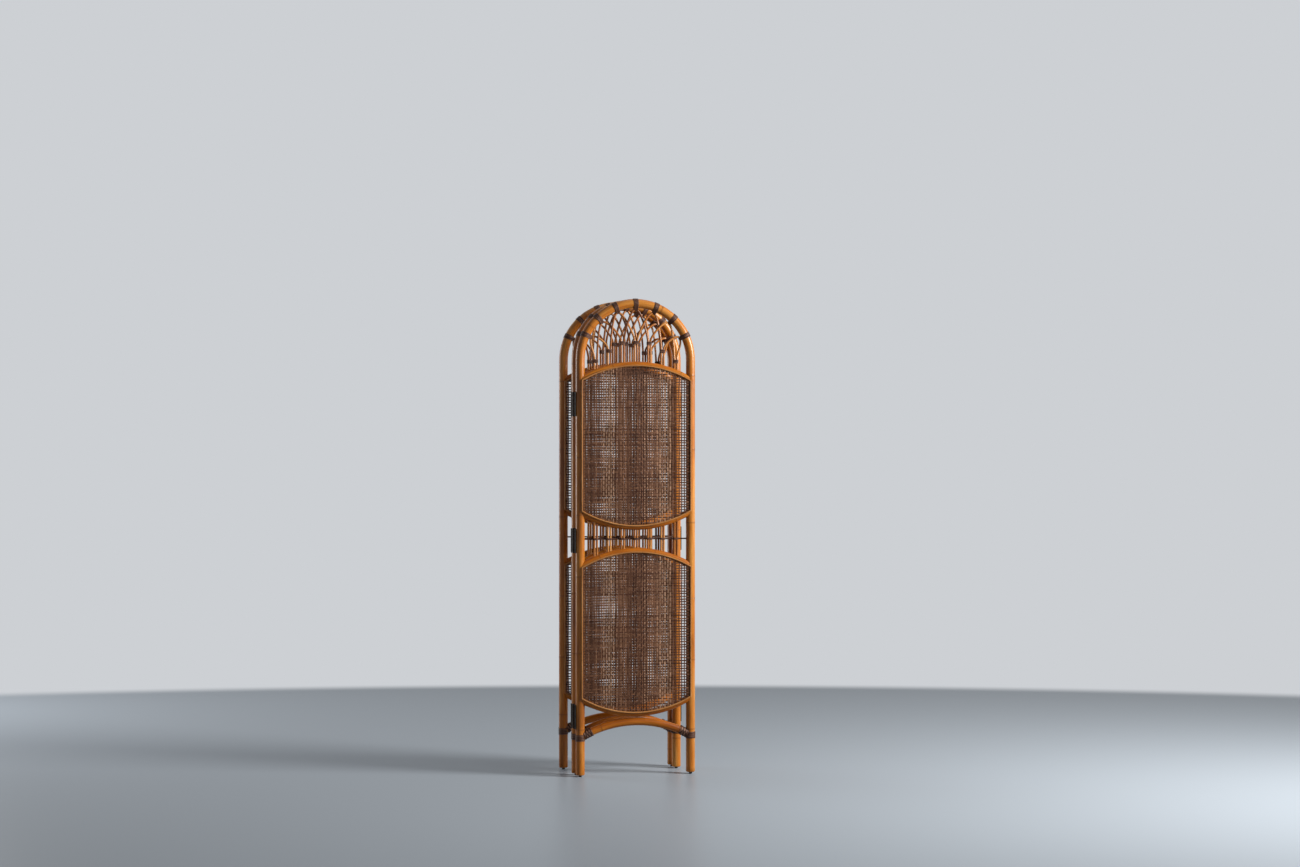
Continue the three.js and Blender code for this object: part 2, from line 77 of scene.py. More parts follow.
POLE_RADIUS = 0.0175
POLE_SIDES = 24
POLE_STEP = 0.02
POLE_JOINTS_APART = 0.27
FOOT_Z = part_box("front_frame")[0].z
ARCH_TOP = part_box("front_frame")[1].z - POLE_RADIUS
SPRING_Z = ARCH_TOP - POST_X


def places(points, across, closed=False):
    """Stands a cross-section on each point of a line, square to it, with its Y axis across it."""
    count = len(points)
    made = []
    for i, here in enumerate(points):
        before = points[i - 1 if closed else max(i - 1, 0)]
        after = points[(i + 1) % count if closed else min(i + 1, count - 1)]
        ahead = (after - before).normalized()
        side = (across - ahead * across.dot(ahead)).normalized()
        place = Matrix((side.cross(ahead), side, ahead)).transposed().to_4x4()
        place.translation = here
        made.append(place)
    return made


def sweep(stands, radii, sides, swells=None, shade=0.0, rings=None, flat_back=False, loop=False):
    """A closed bar grown from a ring of edges, through each stand in turn. Its points keep where
    they were on the straight bar, for the grain, how dark a ring is there, and the bar's tone."""
    bar = bmesh.new()
    straight = bar.verts.layers.float_vector.new("straight")
    dark = bar.verts.layers.float.new("ring")
    tone = bar.verts.layers.float.new("tone")
    bmesh.ops.create_circle(bar, segments=sides, radius=1)
    bmesh.ops.scale(bar, vec=(radii[0], radii[1], 1), verts=bar.verts)
    if flat_back:
        behind = [v for v in bar.verts if v.co.y > 0]
        bmesh.ops.scale(bar, vec=(1, 0, 1), verts=behind)
    offset = Vector((chance.random(), chance.random(), chance.random())) * 10
    for v in bar.verts:
        v[straight] = v.co + offset
        v[tone] = shade
    stands = [
        stand @ Matrix.Diagonal((swell, swell, 1, 1))
        for stand, swell in zip(stands, swells or [1] * len(stands))
    ]
    bar.transform(stands[0])
    edges = bar.edges[:]
    along = offset.z
    for i in range(1, len(stands)):
        grown = bmesh.ops.extrude_edge_only(bar, edges=edges)["geom"]
        ring = [v for v in grown if isinstance(v, bmesh.types.BMVert)]
        edges = [e for e in grown if isinstance(e, bmesh.types.BMEdge) and e.is_boundary]
        move = stands[i] @ stands[i - 1].inverted()
        bmesh.ops.transform(bar, matrix=move, verts=ring)
        along += (stands[i].translation - stands[i - 1].translation).length
        for v in ring:
            v[straight].z = along
            v[dark] = rings[i] if rings else 0
    if loop:
        bmesh.ops.remove_doubles(bar, verts=bar.verts, dist=1e-6)
    bmesh.ops.holes_fill(bar, edges=bar.edges, sides=0)
    bmesh.ops.recalc_face_normals(bar, faces=bar.faces)
    return bar


def gather(bars):
    """Puts several bars into one mesh."""
    whole = bpy.data.meshes.new("gathered")
    sum_of = bmesh.new()
    for bar in bars:
        part = bpy.data.meshes.new("part")
        bar.to_mesh(part)
        bar.free()
        sum_of.from_mesh(part)
        bpy.data.meshes.remove(part)
    sum_of.to_mesh(whole)
    sum_of.free()
    return whole


SHARPEST_ROUND = math.radians(60)  # faces that meet at more than this keep a hard edge


def place_piece(name, mesh, place, panel, finish, slot, *nodes, smooth=True):
    """A copy of the mesh, put in its place on a panel, which it then moves with."""
    mesh = mesh.copy()
    mesh.name = name
    mesh.transform(place)
    mesh.shade_flat()
    if smooth:
        mesh.shade_smooth()
        mesh.set_sharp_from_angle(angle=SHARPEST_ROUND)
    mesh.materials.clear()
    mesh.materials.append(finish)
    piece = bpy.data.objects.new(name, mesh)
    bpy.context.scene.collection.objects.link(piece)
    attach(piece, f"{panel}_panel")
    if nodes:
        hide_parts(*nodes)


def stain(red, green, blue):
    """A colour as a screen shows it, 0 to 255, in the shader's own scale."""
    return tuple(((c / 255 + 0.055) / 1.055) ** 2.4 for c in (red, green, blue)) + (1,)


def new_finish(name, **values):
    """A new material, its node tree and its shader, with the shader's plain values set."""
    made = bpy.data.materials.new(name)
    made.use_nodes = True
    shader = made.node_tree.nodes["Principled BSDF"]
    for socket, value in values.items():
        shader.inputs[socket.replace("_", " ")].default_value = value
    return made, made.node_tree, shader


def add(tree, kind, links=None, **settings):
    """A shader node. A link is a value for one of its sockets, or a socket that feeds it."""
    node = tree.nodes.new("ShaderNode" + kind)
    for name, value in settings.items():
        setattr(node, name, value)
    for socket, value in (links or {}).items():
        if isinstance(value, bpy.types.NodeSocket):
            tree.links.new(value, node.inputs[socket])
        else:
            node.inputs[socket].default_value = value
    return node


def grain(tree, stretch, scale, detail=4.0, rough=0.6):
    """Noise that follows the bent bar, stretched along it."""
    straight = add(tree, "Attribute", attribute_name="straight").outputs["Vector"]
    placed = add(tree, "Mapping", {"Vector": straight, "Scale": (1, 1, stretch)})
    values = {"Vector": placed.outputs[0], "Scale": scale, "Detail": detail, "Roughness": rough}
    return add(tree, "TexNoise", values).outputs["Fac"]


def ramp(tree, factor, *stops):
    """Colours along a scale from 0 to 1."""
    node = add(tree, "ValToRGB", {"Fac": factor})
    elements = node.color_ramp.elements
    while len(elements) < len(stops):
        elements.new(0.5)
    for element, (position, colour) in zip(elements, stops):
        element.position = position
        element.color = colour
    return node.outputs["Color"]


def mixed(tree, factor, first, second, blend="MIX"):
    """The second colour laid over the first by the factor."""
    node = add(tree, "Mix", data_type="RGBA", blend_type=blend)
    for index, value in ((0, factor), (6, first), (7, second)):
        if isinstance(value, bpy.types.NodeSocket):
            tree.links.new(value, node.inputs[index])
        else:
            node.inputs[index].default_value = value
    return node.outputs[2]


def rattan(name, dark, middle, light, ring_stain, roughness, varnish):
    """Varnished rattan: fine fibres and slow drifts of colour along the pole, dark rings."""
    made, tree, shader = new_finish(
        name, Roughness=roughness, Coat_Weight=varnish, Coat_Roughness=0.24, Specular_IOR_Level=0.2
    )
    drift = ramp(tree, grain(tree, 0.12, 28), (0.3, dark), (0.5, middle), (0.72, light))
    fibre = grain(tree, 0.02, 900, 3)
    streak = ramp(tree, fibre, (0.25, stain(188, 178, 166)), (0.75, (1, 1, 1, 1)))
    body = mixed(tree, 1.0, drift, streak, "MULTIPLY")
    ring = add(tree, "Attribute", attribute_name="ring").outputs["Fac"]
    tree.links.new(mixed(tree, ring, body, ring_stain), shader.inputs["Base Color"])
    bump = add(tree, "Bump", {"Height": fibre, "Strength": 0.35, "Distance": 0.0003})
    tree.links.new(bump.outputs[0], shader.inputs["Normal"])
    return made


pole_finish = rattan(
    "honey_rattan",
    stain(150, 82, 16),
    stain(200, 120, 28),
    stain(224, 158, 76),
    stain(112, 62, 20),
    0.36,
    0.3,
)

RING_RISE = 0.02  # a stalk's joint stands this share of the radius proud
RING_FLANK = 0.007  # from a joint's middle to where its swelling ends
RING_LINE = 0.0012  # half the width of its dark line
RING_SHOULDER = 2.2  # where the swelling eases off, in half widths of the line


def knotted(length, step, first, gap):
    """Stations along a pole, with how much it swells and how dark it is at each. Its joints lie
    the gap apart, give or take a fifth, and the first one this far from its end."""
    count = math.ceil(length / step)
    spots = {round(i * length / count, 5): (1, 0) for i in range(count + 1)}
    joint = first
    while joint < length - RING_FLANK:
        for side in (-1, 1):
            spots[round(joint + side * RING_FLANK, 5)] = (1, 0)
            spots[round(joint + side * RING_LINE * RING_SHOULDER, 5)] = (1 + RING_RISE * 0.7, 0.1)
            spots[round(joint + side * RING_LINE, 5)] = (1 + RING_RISE, 0.5)
        joint += gap * chance.uniform(0.8, 1.2)
    stations = sorted(s for s in spots if 0 <= s <= length)
    return stations, [spots[s][0] for s in stations], [spots[s][1] for s in stations]


def on_frame(distance):
    """The frame pole's middle, this far along it from its left foot."""
    post = SPRING_Z - FOOT_Z
    arch = math.pi * POST_X
    if distance < post:
        return Vector((-POST_X, 0, FOOT_Z + distance))
    if distance > post + arch:
        return Vector((POST_X, 0, FOOT_Z + 2 * post + arch - distance))
    turn = (distance - post) / POST_X
    return Vector((-POST_X * math.cos(turn), 0, SPRING_Z + POST_X * math.sin(turn)))


FOOT_ROUNDING = 0.004  # how far from its end a foot is rounded
FOOT_END = 0.85  # how wide its end is, as a share
FOOT_EDGE = (0.3, 0.95)  # how far along the rounding, and how wide there
pole_length = 2 * (SPRING_Z - FOOT_Z) + math.pi * POST_X
for panel, place in panels.items():
    stations, swells, rings = knotted(pole_length, POLE_STEP, chance.uniform(0.1, 0.25), POLE_JOINTS_APART)
    for end in (0, pole_length):
        for inset, swell in ((FOOT_ROUNDING * FOOT_EDGE[0], FOOT_EDGE[1]), (FOOT_ROUNDING, 1)):
            at = abs(end - inset)
            stations.append(at)
            swells.append(swell)
            rings.append(0)
    order = sorted(range(len(stations)), key=stations.__getitem__)
    stations = [stations[i] for i in order]
    swells = [swells[i] for i in order]
    rings = [rings[i] for i in order]
    swells[0] = swells[-1] = FOOT_END
    radius = POLE_RADIUS / (1 + RING_RISE)
    stands = places([on_frame(s) for s in stations], ACROSS)
    mesh = gather([sweep(stands, (radius, radius), POLE_SIDES, swells, rings=rings)])
    place_piece(f"{panel}_arched_pole", mesh, place, panel, pole_finish, "pole_rattan", f"{panel}_frame")


# ---- Rails ----
# Four thinner poles cross each panel, two over and two under a mat. They are steamed to a shallow
# arc, coped to the posts and nailed, with their fronts level with the posts' fronts.

RAIL_RADIUS = 0.0125
RAIL_SAGITTA = 0.058
RAIL_Y = -0.005
RAIL_TUCK = 0.008  # a coped end stops this short of the post's middle
RAIL_SIDES = 18
RAIL_JOINTS_APART = 0.24
ARC_STEPS = 28

rail_finish = rattan(
    "amber_rattan",
    stain(146, 76, 12),
    stain(190, 108, 20),
    stain(208, 134, 44),
    stain(106, 56, 16),
    0.36,
    0.1,
)


def bend_of(sagitta):
    """The radius of an arc that rises by the sagitta between the posts' middles."""
    return (POST_X**2 + sagitta**2) / (2 * sagitta)


def bow(sagitta, tuck, y=0.0, inset=0.0):
    """Points on an arc that would rise by the sagitta between the posts' middles. It is highest at
    (0, y, 0), is moved inwards by the inset, and stops the tuck short of the posts' middles."""
    bend = bend_of(sagitta)
    radius = bend - inset
    reach = math.asin((POST_X - tuck) / radius)
    turns = [reach * (2 * i / ARC_STEPS - 1) for i in range(ARC_STEPS + 1)]
    return [Vector((radius * math.sin(t), y, radius * math.cos(t) - bend)) for t in turns]


def drop(x):
    """How far a rail's arc is below its highest point at x."""
    bend = bend_of(RAIL_SAGITTA)
    return bend - math.sqrt(bend**2 - x**2)


def length_of(points):
    return sum((b - a).length for a, b in zip(points, points[1:]))


def along_line(points, share):
    """The point on a line of points this many of its steps from its start."""
    step = min(int(share), len(points) - 2)
    return points[step].lerp(points[step + 1], share - step)


def knotted_bow(points, radius, gap):
    """A bent pole through the points, with the stalk's joints on it."""
    length = length_of(points)
    stations, swells, rings = knotted(length, length / ARC_STEPS, chance.uniform(0.05, gap), gap)
    line = [along_line(points, s / length * (len(points) - 1)) for s in stations]
    thin = radius / (1 + RING_RISE)
    return sweep(places(line, ACROSS), (thin, thin), RAIL_SIDES, swells, rings=rings)


FLIP = Matrix.Rotation(math.pi, 4, "Y")
for panel, place in panels.items():
    for field in ("lower", "upper"):
        for edge in ("top", "bottom"):
            node = f"{panel}_{field}_{edge}_rail"
            low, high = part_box(node)
            arc = bow(RAIL_SAGITTA, RAIL_TUCK, RAIL_Y)
            mesh = gather([knotted_bow(arc, RAIL_RADIUS, RAIL_JOINTS_APART)])
            if edge == "top":
                seat = Matrix.Translation((0, 0, high.z - RAIL_RADIUS))
            else:
                seat = Matrix.Translation((0, 0, low.z + RAIL_RADIUS)) @ FLIP
            place_piece(
                f"{panel}_{field}_{edge}_bent_rail",
                mesh,
                place @ seat,
                panel,
                rail_finish,
                "pole_rattan",
                node,
            )


# ---- Foot stretchers ----
# A pole stouter than the rails, bent to the same kind of arc, keeps the two posts apart a hand's
# breadth over the floor. Its coped ends are hidden by the lashings.

STRETCHER_RADIUS = 0.015
STRETCHER_SAGITTA = 0.056
STRETCHER_JOINTS_APART = 0.26
STRETCHER_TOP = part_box("front_foot_stretcher")[1].z - STRETCHER_RADIUS

for panel, place in panels.items():
    arc = bow(STRETCHER_SAGITTA, RAIL_TUCK)
    mesh = gather([knotted_bow(arc, STRETCHER_RADIUS, STRETCHER_JOINTS_APART)])
    place_piece(
        f"{panel}_bent_stretcher",
        mesh,
        place @ Matrix.Translation((0, 0, STRETCHER_TOP)),
        panel,
        rail_finish,
        "pole_rattan",
        f"{panel}_foot_stretcher",
    )


# ---- Foot lashings ----
# Dark strips of split cane are wound tightly round each post and over the stretcher's end, turn
# beside turn, and hide the nailed joint. Slanting strips cross over the stretcher's turns.

LASH_BAND = 0.028
LASH_SLEEVE = 0.034
LASH_WIDTH = 0.0042
LASH_THICKNESS = 0.0013
SLANT_STRIPS = 3
SLANT_WIDTH = 0.0034
SLANT_SHADE = -0.12  # darker than the turns under them
SLEEVE_SHADE = 0.24
UNDER_SLANT = 1.2  # how far out each layer of slanting strips lies, in strips' thicknesses
OVER_SLANT = 1.6
COLLAR_THICKNESS = LASH_THICKNESS * 1.3
STRIP_SIDES = 6
STRIP_LAP = 0.53  # half a strip's width, as a share of its pitch, so that turns touch


def binding_finish():
    """Dyed strip, darker or lighter by its own tone and along its fibres."""
    made, tree, shader = new_finish("dark_binding", Roughness=0.5, Specular_IOR_Level=0.2)
    fibre = grain(tree, 0.05, 420, 3)
    tone = add(tree, "Attribute", attribute_name="tone").outputs["Fac"]
    strip = add(tree, "Math", {0: fibre, 1: tone}, operation="ADD").outputs[0]
    colours = ramp(
        tree, strip, (0.3, stain(44, 26, 18)), (0.52, stain(80, 50, 36)), (0.74, stain(140, 104, 84))
    )
    tree.links.new(colours, shader.inputs["Base Color"])
    bump = add(tree, "Bump", {"Height": fibre, "Strength": 0.5, "Distance": 0.0003})
    tree.links.new(bump.outputs[0], shader.inputs["Normal"])
    return made


binding = binding_finish()


def winding(rounds, width, thickness, length, steps=24, shade=0.0):
    """A strip wound round one or more round things, each given as ((x, y), radius), over a length
    along Z. It lies on the outline that a tight thread round them all would take."""
    turns = max(1, round(length / width))
    pitch = length / turns
    points = []
    for i in range(turns * steps + 1):
        turn = 2 * math.pi * i / steps
        out = Vector((math.cos(turn), math.sin(turn)))
        middle, radius = max(rounds, key=lambda r: Vector(r[0]).dot(out) + r[1])
        on = Vector(middle) + out * (radius + thickness / 2)
        rise = (i / (turns * steps) - 0.5) * (length - pitch)
        points.append(Vector((on.x, on.y, rise)))
    stands = places(points, Vector((0, 0, 1)))
    return sweep(stands, (thickness / 2, pitch * STRIP_LAP), STRIP_SIDES, shade=shade)


def slanting_strips(radius, way, steps=20):
    """Strips laid slantwise over a sleeve, one turn each, so that two layers cross in diamonds."""
    made = []
    for strip in range(SLANT_STRIPS):
        points = []
        for i in range(steps + 1):
            turn = 2 * math.pi * (way * i / steps + strip / SLANT_STRIPS)
            rise = (i / steps - 0.5) * (LASH_SLEEVE - LASH_WIDTH)
            points.append(Vector((radius * math.cos(turn), radius * math.sin(turn), rise)))
        stands = places(points, Vector((0, 0, 1)))
        section = (LASH_THICKNESS / 2, SLANT_WIDTH / 2)
        made.append(sweep(stands, section, STRIP_SIDES, shade=SLANT_SHADE))
    return made


band = winding([((0, 0), POLE_RADIUS)], LASH_WIDTH, LASH_THICKNESS, LASH_BAND)
under_layer = [((0, 0), STRETCHER_RADIUS)]
over_layer = [((0, 0), STRETCHER_RADIUS + LASH_THICKNESS)]
sleeve = [winding(under_layer, LASH_WIDTH, LASH_THICKNESS, LASH_SLEEVE, shade=SLEEVE_SHADE)]
sleeve += slanting_strips(STRETCHER_RADIUS + LASH_THICKNESS * UNDER_SLANT, 1)
sleeve += slanting_strips(STRETCHER_RADIUS + LASH_THICKNESS * OVER_SLANT, -1)
for end in (-1, 1):
    collar = winding(over_layer, LASH_WIDTH, COLLAR_THICKNESS, LASH_WIDTH)
    collar.transform(Matrix.Translation((0, 0, end * (LASH_SLEEVE - LASH_WIDTH) / 2)))
    sleeve.append(collar)
sleeve_line = bow(STRETCHER_SAGITTA, 0.0)
sleeve_middle = POST_X - POLE_RADIUS - LASH_SLEEVE * 0.45
sleeve_end = next(p for p in sleeve_line if p.x > sleeve_middle)
after_end = sleeve_line[sleeve_line.index(sleeve_end) + 1]
for strip in sleeve:
    strip.transform(places([sleeve_end, after_end], ACROSS)[0])
band.transform(Matrix.Translation((POST_X, 0, -STRETCHER_SAGITTA)))
lashing_mesh = gather([band] + sleeve)
for panel, place in panels.items():
    for side, turn in (("right", 0), ("left", math.pi)):
        seat = Matrix.Translation((0, 0, STRETCHER_TOP)) @ Matrix.Rotation(turn, 4, "Z")
        place_piece(
            f"{panel}_{side}_foot_binding",
            lashing_mesh,
            place @ seat,
            panel,
            binding,
            "binding",
            f"{panel}_{side}_lashing",
        )


# ---- Woven mats ----
# Each mat is a plain weave of split cane dyed dark brown, one strand over and one under, a
# centimetre apart. The strands are nailed down on the rails and posts and covered by the bead.

STRAND_PITCH = 0.010
UNEVEN_COLUMNS = 0.22  # how far a gap between strands strays, as a share of the pitch
UNEVEN_ROWS = 0.12
STRAND_WIDTH = 0.0054
STRAND_THICKNESS = 0.0009
STRAND_STRAY = 0.0005
WEAVE_DEPTH = 0.00044
SWAY_WAVES = 45  # radians of a strand's sideways wave to a metre
END_MARGIN = 0.001  # no crossing lies closer to a strand's end
MAT_MARGIN = 0.002  # the strands stop this short of the middles of rails and posts
MAT_Y = middle_of("front_lower_mat").y - panels["front"].translation.y
low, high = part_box("front_lower_mat")
MAT_HALF = (high.z - low.z) / 2


def strand(start, along, length, cross, phase, shade):
    """One strand from its start, with its crossings at these distances, over and under in turn."""
    marks = [(0.0, 0.0)]
    previous = None
    for k, at in cross:
        if not END_MARGIN < at < length - END_MARGIN:
            continue
        if previous is not None:
            marks.append(((previous + at) / 2, 0.0))
        marks.append((at, WEAVE_DEPTH if (k + phase) % 2 else -WEAVE_DEPTH))
        previous = at
    marks.append((length, 0.0))
    wave = chance.uniform(0, 6.28)
    sway = chance.uniform(0.0003, 0.0010)
    sideways = along.cross(ACROSS)
    points = [
        start + along * at + ACROSS * lift + sideways * (sway * math.sin(wave + at * SWAY_WAVES))
        for at, lift in marks
    ]
    wide = STRAND_WIDTH / 2 * chance.uniform(0.8, 1.12)
    return sweep(places(points, ACROSS), (wide, STRAND_THICKNESS / 2), STRIP_SIDES, shade=shade)


def uneven(count, share):
    """Where so many strands lie, side by side about the mat's middle and never quite evenly."""
    gaps = [STRAND_PITCH * chance.uniform(1 - share, 1 + share) for _ in range(count)]
    fit = (count - 1) * STRAND_PITCH / sum(gaps[1:])
    return [fit * sum(gaps[1:i + 1]) - (count - 1) * STRAND_PITCH / 2 for i in range(count)]


def woven_mat():
    """Columns from rail to rail and rows from post to post, each over and under the others."""
    half_width = POST_X - MAT_MARGIN
    columns = int(2 * half_width / STRAND_PITCH)
    rows = int(2 * MAT_HALF / STRAND_PITCH)
    column_x = uneven(columns, UNEVEN_COLUMNS)
    row_z = uneven(rows, UNEVEN_ROWS)
    strands = []
    shade = 0.5
    for i, x in enumerate(column_x):
        top = MAT_HALF - MAT_MARGIN - drop(x)
        cross = [(j, z + top) for j, z in enumerate(row_z)]
        start = Vector((x + chance.uniform(-STRAND_STRAY, STRAND_STRAY), 0, -top))
        shade = min(max(shade + chance.uniform(-0.4, 0.4), 0.05), 1)
        strands.append(strand(start, Vector((0, 0, 1)), 2 * top, cross, i, shade))
    bend = bend_of(RAIL_SAGITTA)
    for j, z in enumerate(row_z):
        fall = abs(z) + MAT_MARGIN - (MAT_HALF - RAIL_SAGITTA)
        reach = half_width
        if fall > 0:
            reach = min(half_width, math.sqrt(bend**2 - (bend - RAIL_SAGITTA + fall) ** 2))
        cross = [(i, x + reach) for i, x in enumerate(column_x)]
        start = Vector((-reach, 0, z + chance.uniform(-STRAND_STRAY, STRAND_STRAY)))
        shade = chance.uniform(0.25, 0.65)
        strands.append(strand(start, Vector((1, 0, 0)), 2 * reach, cross, j + 1, shade))
    return gather(strands)


def mat_finish():
    """Dyed split cane, each strand of its own tone and streaked along its length."""
    made, tree, shader = new_finish("dyed_cane_weave", Roughness=0.55, Specular_IOR_Level=0.15)
    tone = add(tree, "Attribute", attribute_name="tone").outputs["Fac"]
    strands = ramp(
        tree,
        tone,
        (0.0, stain(68, 42, 30)),
        (0.4, stain(108, 72, 52)),
        (0.75, stain(146, 104, 78)),
        (1.0, stain(190, 150, 120)),
    )
    streak = ramp(tree, grain(tree, 0.3, 60, 4), (0.3, stain(138, 130, 126)), (0.7, (1, 1, 1, 1)))
    tree.links.new(mixed(tree, 1.0, strands, streak, "MULTIPLY"), shader.inputs["Base Color"])
    return made


weave = mat_finish()
for panel, place in panels.items():
    mat_mesh = woven_mat()
    for field in ("lower", "upper"):
        node = f"{panel}_{field}_mat"
        seat = Matrix.Translation((0, MAT_Y, middle_of(node).z))
        place_piece(f"{panel}_{field}_weave", mat_mesh, place @ seat, panel, weave, "woven_mat", node)


# ---- Beads ----
# Strips of split cane, half round and left light, cover the edges of each mat. Two are bent along
# the rails and two run straight down the posts, mitred at the corners and held by fine brads.

BEAD_WIDTH = 0.006
BEAD_HEIGHT = 0.0033
BEAD_SIDES = 14
BEAD_INSET = 0.0035  # from the middle of a rail or a post to the bead's
MAT_FRONT = 0.0011  # from the mat's middle to the beads' flat backs
BEAD_Y = MAT_Y - MAT_FRONT


def half_round(points, before, after):
    """A half-round strip through the points, its ends cut on the mitre with the next strips."""
    stands = places(points, ACROSS)
    for end, neighbour in ((0, before), (-1, after)):
        own = stands[end].to_3x3().col[2]
        bisector = (own + neighbour).normalized()
        lean = 1 / own.dot(bisector)
        turned = Matrix((ACROSS.cross(bisector) * lean, ACROSS, bisector)).transposed().to_4x4()
        turned.translation = points[end]
        stands[end] = turned
    return sweep(stands, (BEAD_WIDTH / 2, BEAD_HEIGHT), BEAD_SIDES, flat_back=True)


bead_finish = rattan(
    "light_bead",
    stain(150, 94, 44),
    stain(192, 132, 72),
    stain(216, 164, 108),
    stain(140, 96, 60),
    0.42,
    0.1,
)


def bead_lines():
    """The lines that the four strips lie on, clockwise from the top one."""
    arc = bow(RAIL_SAGITTA, BEAD_INSET, inset=BEAD_INSET)
    top = [p + Vector((0, 0, MAT_HALF)) for p in arc]
    bottom = [Vector((-p.x, 0, -p.z)) for p in top]
    return [top, [top[-1], bottom[0]], bottom, [bottom[-1], top[0]]]


def bead_strips():
    """The four strips round a mat, mitred where they meet."""
    loop = bead_lines()
    heads = [(line[1] - line[0]).normalized() for line in loop]
    tails = [(line[-1] - line[-2]).normalized() for line in loop]
    strips = []
    for i, line in enumerate(loop):
        strips.append(half_round(line, tails[i - 1], heads[(i + 1) % 4]))
    return gather(strips)


bead_mesh = bead_strips()
for panel, place in panels.items():
    for field in ("lower", "upper"):
        node = f"{panel}_{field}_bead"
        seat = Matrix.Translation((0, BEAD_Y, middle_of(node).z))
        place_piece(
            f"{panel}_{field}_half_round", bead_mesh, place @ seat, panel, bead_finish, "bead_rattan", node
        )


# ---- Brads ----
# Fine steel brads, some four centimetres apart, are driven through the crest of each bead and the
# mat under it, into the rails and the posts. Their low domed heads are set nearly flush.

BRAD_RADIUS = 0.0009
BRAD_STAND = 0.0004
BRAD_SINK = 0.00034
BRAD_ROUNDING = BRAD_STAND * 0.9
BRAD_SIDES = 8
BRAD_SPACING = 0.042


def steel_finish():
    """Dull browned steel, blotched by its patina."""
    made, tree, shader = new_finish("browned_steel", Metallic=0.2, Specular_IOR_Level=0.05)
    where = add(tree, "TexCoord").outputs["Object"]
    patina = add(tree, "TexNoise", {"Vector": where, "Scale": 160, "Detail": 5}).outputs["Fac"]
    colours = ramp(
        tree, patina, (0.3, stain(24, 19, 16)), (0.55, stain(44, 35, 29)), (0.8, stain(84, 70, 58))
    )
    tree.links.new(colours, shader.inputs["Base Color"])
    dull = add(tree, "MapRange", {"Value": patina, "To Min": 0.74, "To Max": 0.5})
    tree.links.new(dull.outputs[0], shader.inputs["Roughness"])
    bump = add(tree, "Bump", {"Height": patina, "Strength": 0.3, "Distance": 0.0002})
    tree.links.new(bump.outputs[0], shader.inputs["Normal"])
    return made


steel = steel_finish()


def barrel(from_z, to_z, radius, rounding, sides=20):
    """An upright turned pin or knuckle with rounded ends."""
    heights = [
        (from_z, 1 - rounding / radius),
        (from_z + rounding, 1),
        (to_z - rounding, 1),
        (to_z, 1 - rounding / radius),
    ]
    line = [Vector((0, 0, z)) for z, _ in heights]
    return sweep(places(line, ACROSS), (radius, radius), sides, [swell for _, swell in heights])


def brad_heads():
    """The heads round one mat, evenly spread along each strip of its bead."""
    heads = []
    for line in bead_lines():
        count = round(length_of(line) / BRAD_SPACING)
        for i in range(count):
            at = along_line(line, (i + 0.5) / count * (len(line) - 1))
            head = barrel(-BRAD_STAND, BRAD_STAND, BRAD_RADIUS, BRAD_ROUNDING, BRAD_SIDES)
            head.transform(Matrix.Rotation(math.pi / 2, 4, "X"))
            head.transform(Matrix.Translation(at - ACROSS * (BEAD_HEIGHT - BRAD_SINK)))
            heads.append(head)
    return gather(heads)


brad_mesh = brad_heads()
for panel, place in panels.items():
    for field in ("lower", "upper"):
        seat = Matrix.Translation((0, BEAD_Y, middle_of(f"{panel}_{field}_bead").z))
        place_piece(f"{panel}_{field}_brads", brad_mesh, place @ seat, panel, steel, "aged_steel")


# ---- Gallery ----
# Between the mats stand seven pairs of thin canes, held at half height to a dark rod behind them by
# a few turns of dark strip. The canes' ends are coped to the rails.

CANE_RADIUS = 0.004
CANE_SIDES = 12
CANE_SPACING = 0.010  # between the middles of a pair's two canes
PAIRS = 7
PAIR_WIDTH = 0.021
BETWEEN_PAIRS = (2 * (POST_X - POLE_RADIUS) - PAIRS * PAIR_WIDTH) / (PAIRS + 1)
PAIR_PITCH = PAIR_WIDTH + BETWEEN_PAIRS
ROD_RADIUS = 0.00275
ROD_SIDES = 10
ROD_STEPS = 10
TIE_WIDTH = 0.003
TIE_THICKNESS = 0.0012
CROSSING_WIDTH = 0.0019

cane_finish = rattan(
    "thin_cane",
    stain(112, 60, 20),
    stain(182, 112, 48),
    stain(236, 172, 98),
    stain(80, 46, 26),
    0.34,
    0.22,
)

GALLERY_Z = middle_of("front_gallery").z
GALLERY_HALF = GALLERY_Z - (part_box("front_lower_top_rail")[1].z - RAIL_RADIUS)
ROD_BACK = CANE_RADIUS + ROD_RADIUS


def cross_tie(apart, steps=32):
    """Two turns of strip round a pair and the rod: level in front, crossing behind the rod."""
    rounds = [
        (Vector((-CANE_SPACING / 2, 0)), CANE_RADIUS),
        (Vector((CANE_SPACING / 2, 0)), CANE_RADIUS),
        (Vector((0, ROD_BACK)), ROD_RADIUS),
    ]
    points = []
    for i in range(2 * steps):
        turn = 2 * math.pi * i / steps
        out = Vector((math.cos(turn), math.sin(turn)))
        middle, radius = max(rounds, key=lambda r: r[0].dot(out) + r[1])
        on = middle + out * (radius + TIE_THICKNESS / 2)
        way = 1 if i < steps else -1
        height = way * math.cos(turn) if out.y > 0 else -way
        points.append(Vector((on.x, on.y, apart * height)))
    stands = places(points, Vector((0, 0, 1)), closed=True)
    section = (TIE_THICKNESS / 2, CROSSING_WIDTH * STRIP_LAP)
    return sweep(stands + stands[:1], section, STRIP_SIDES, loop=True)


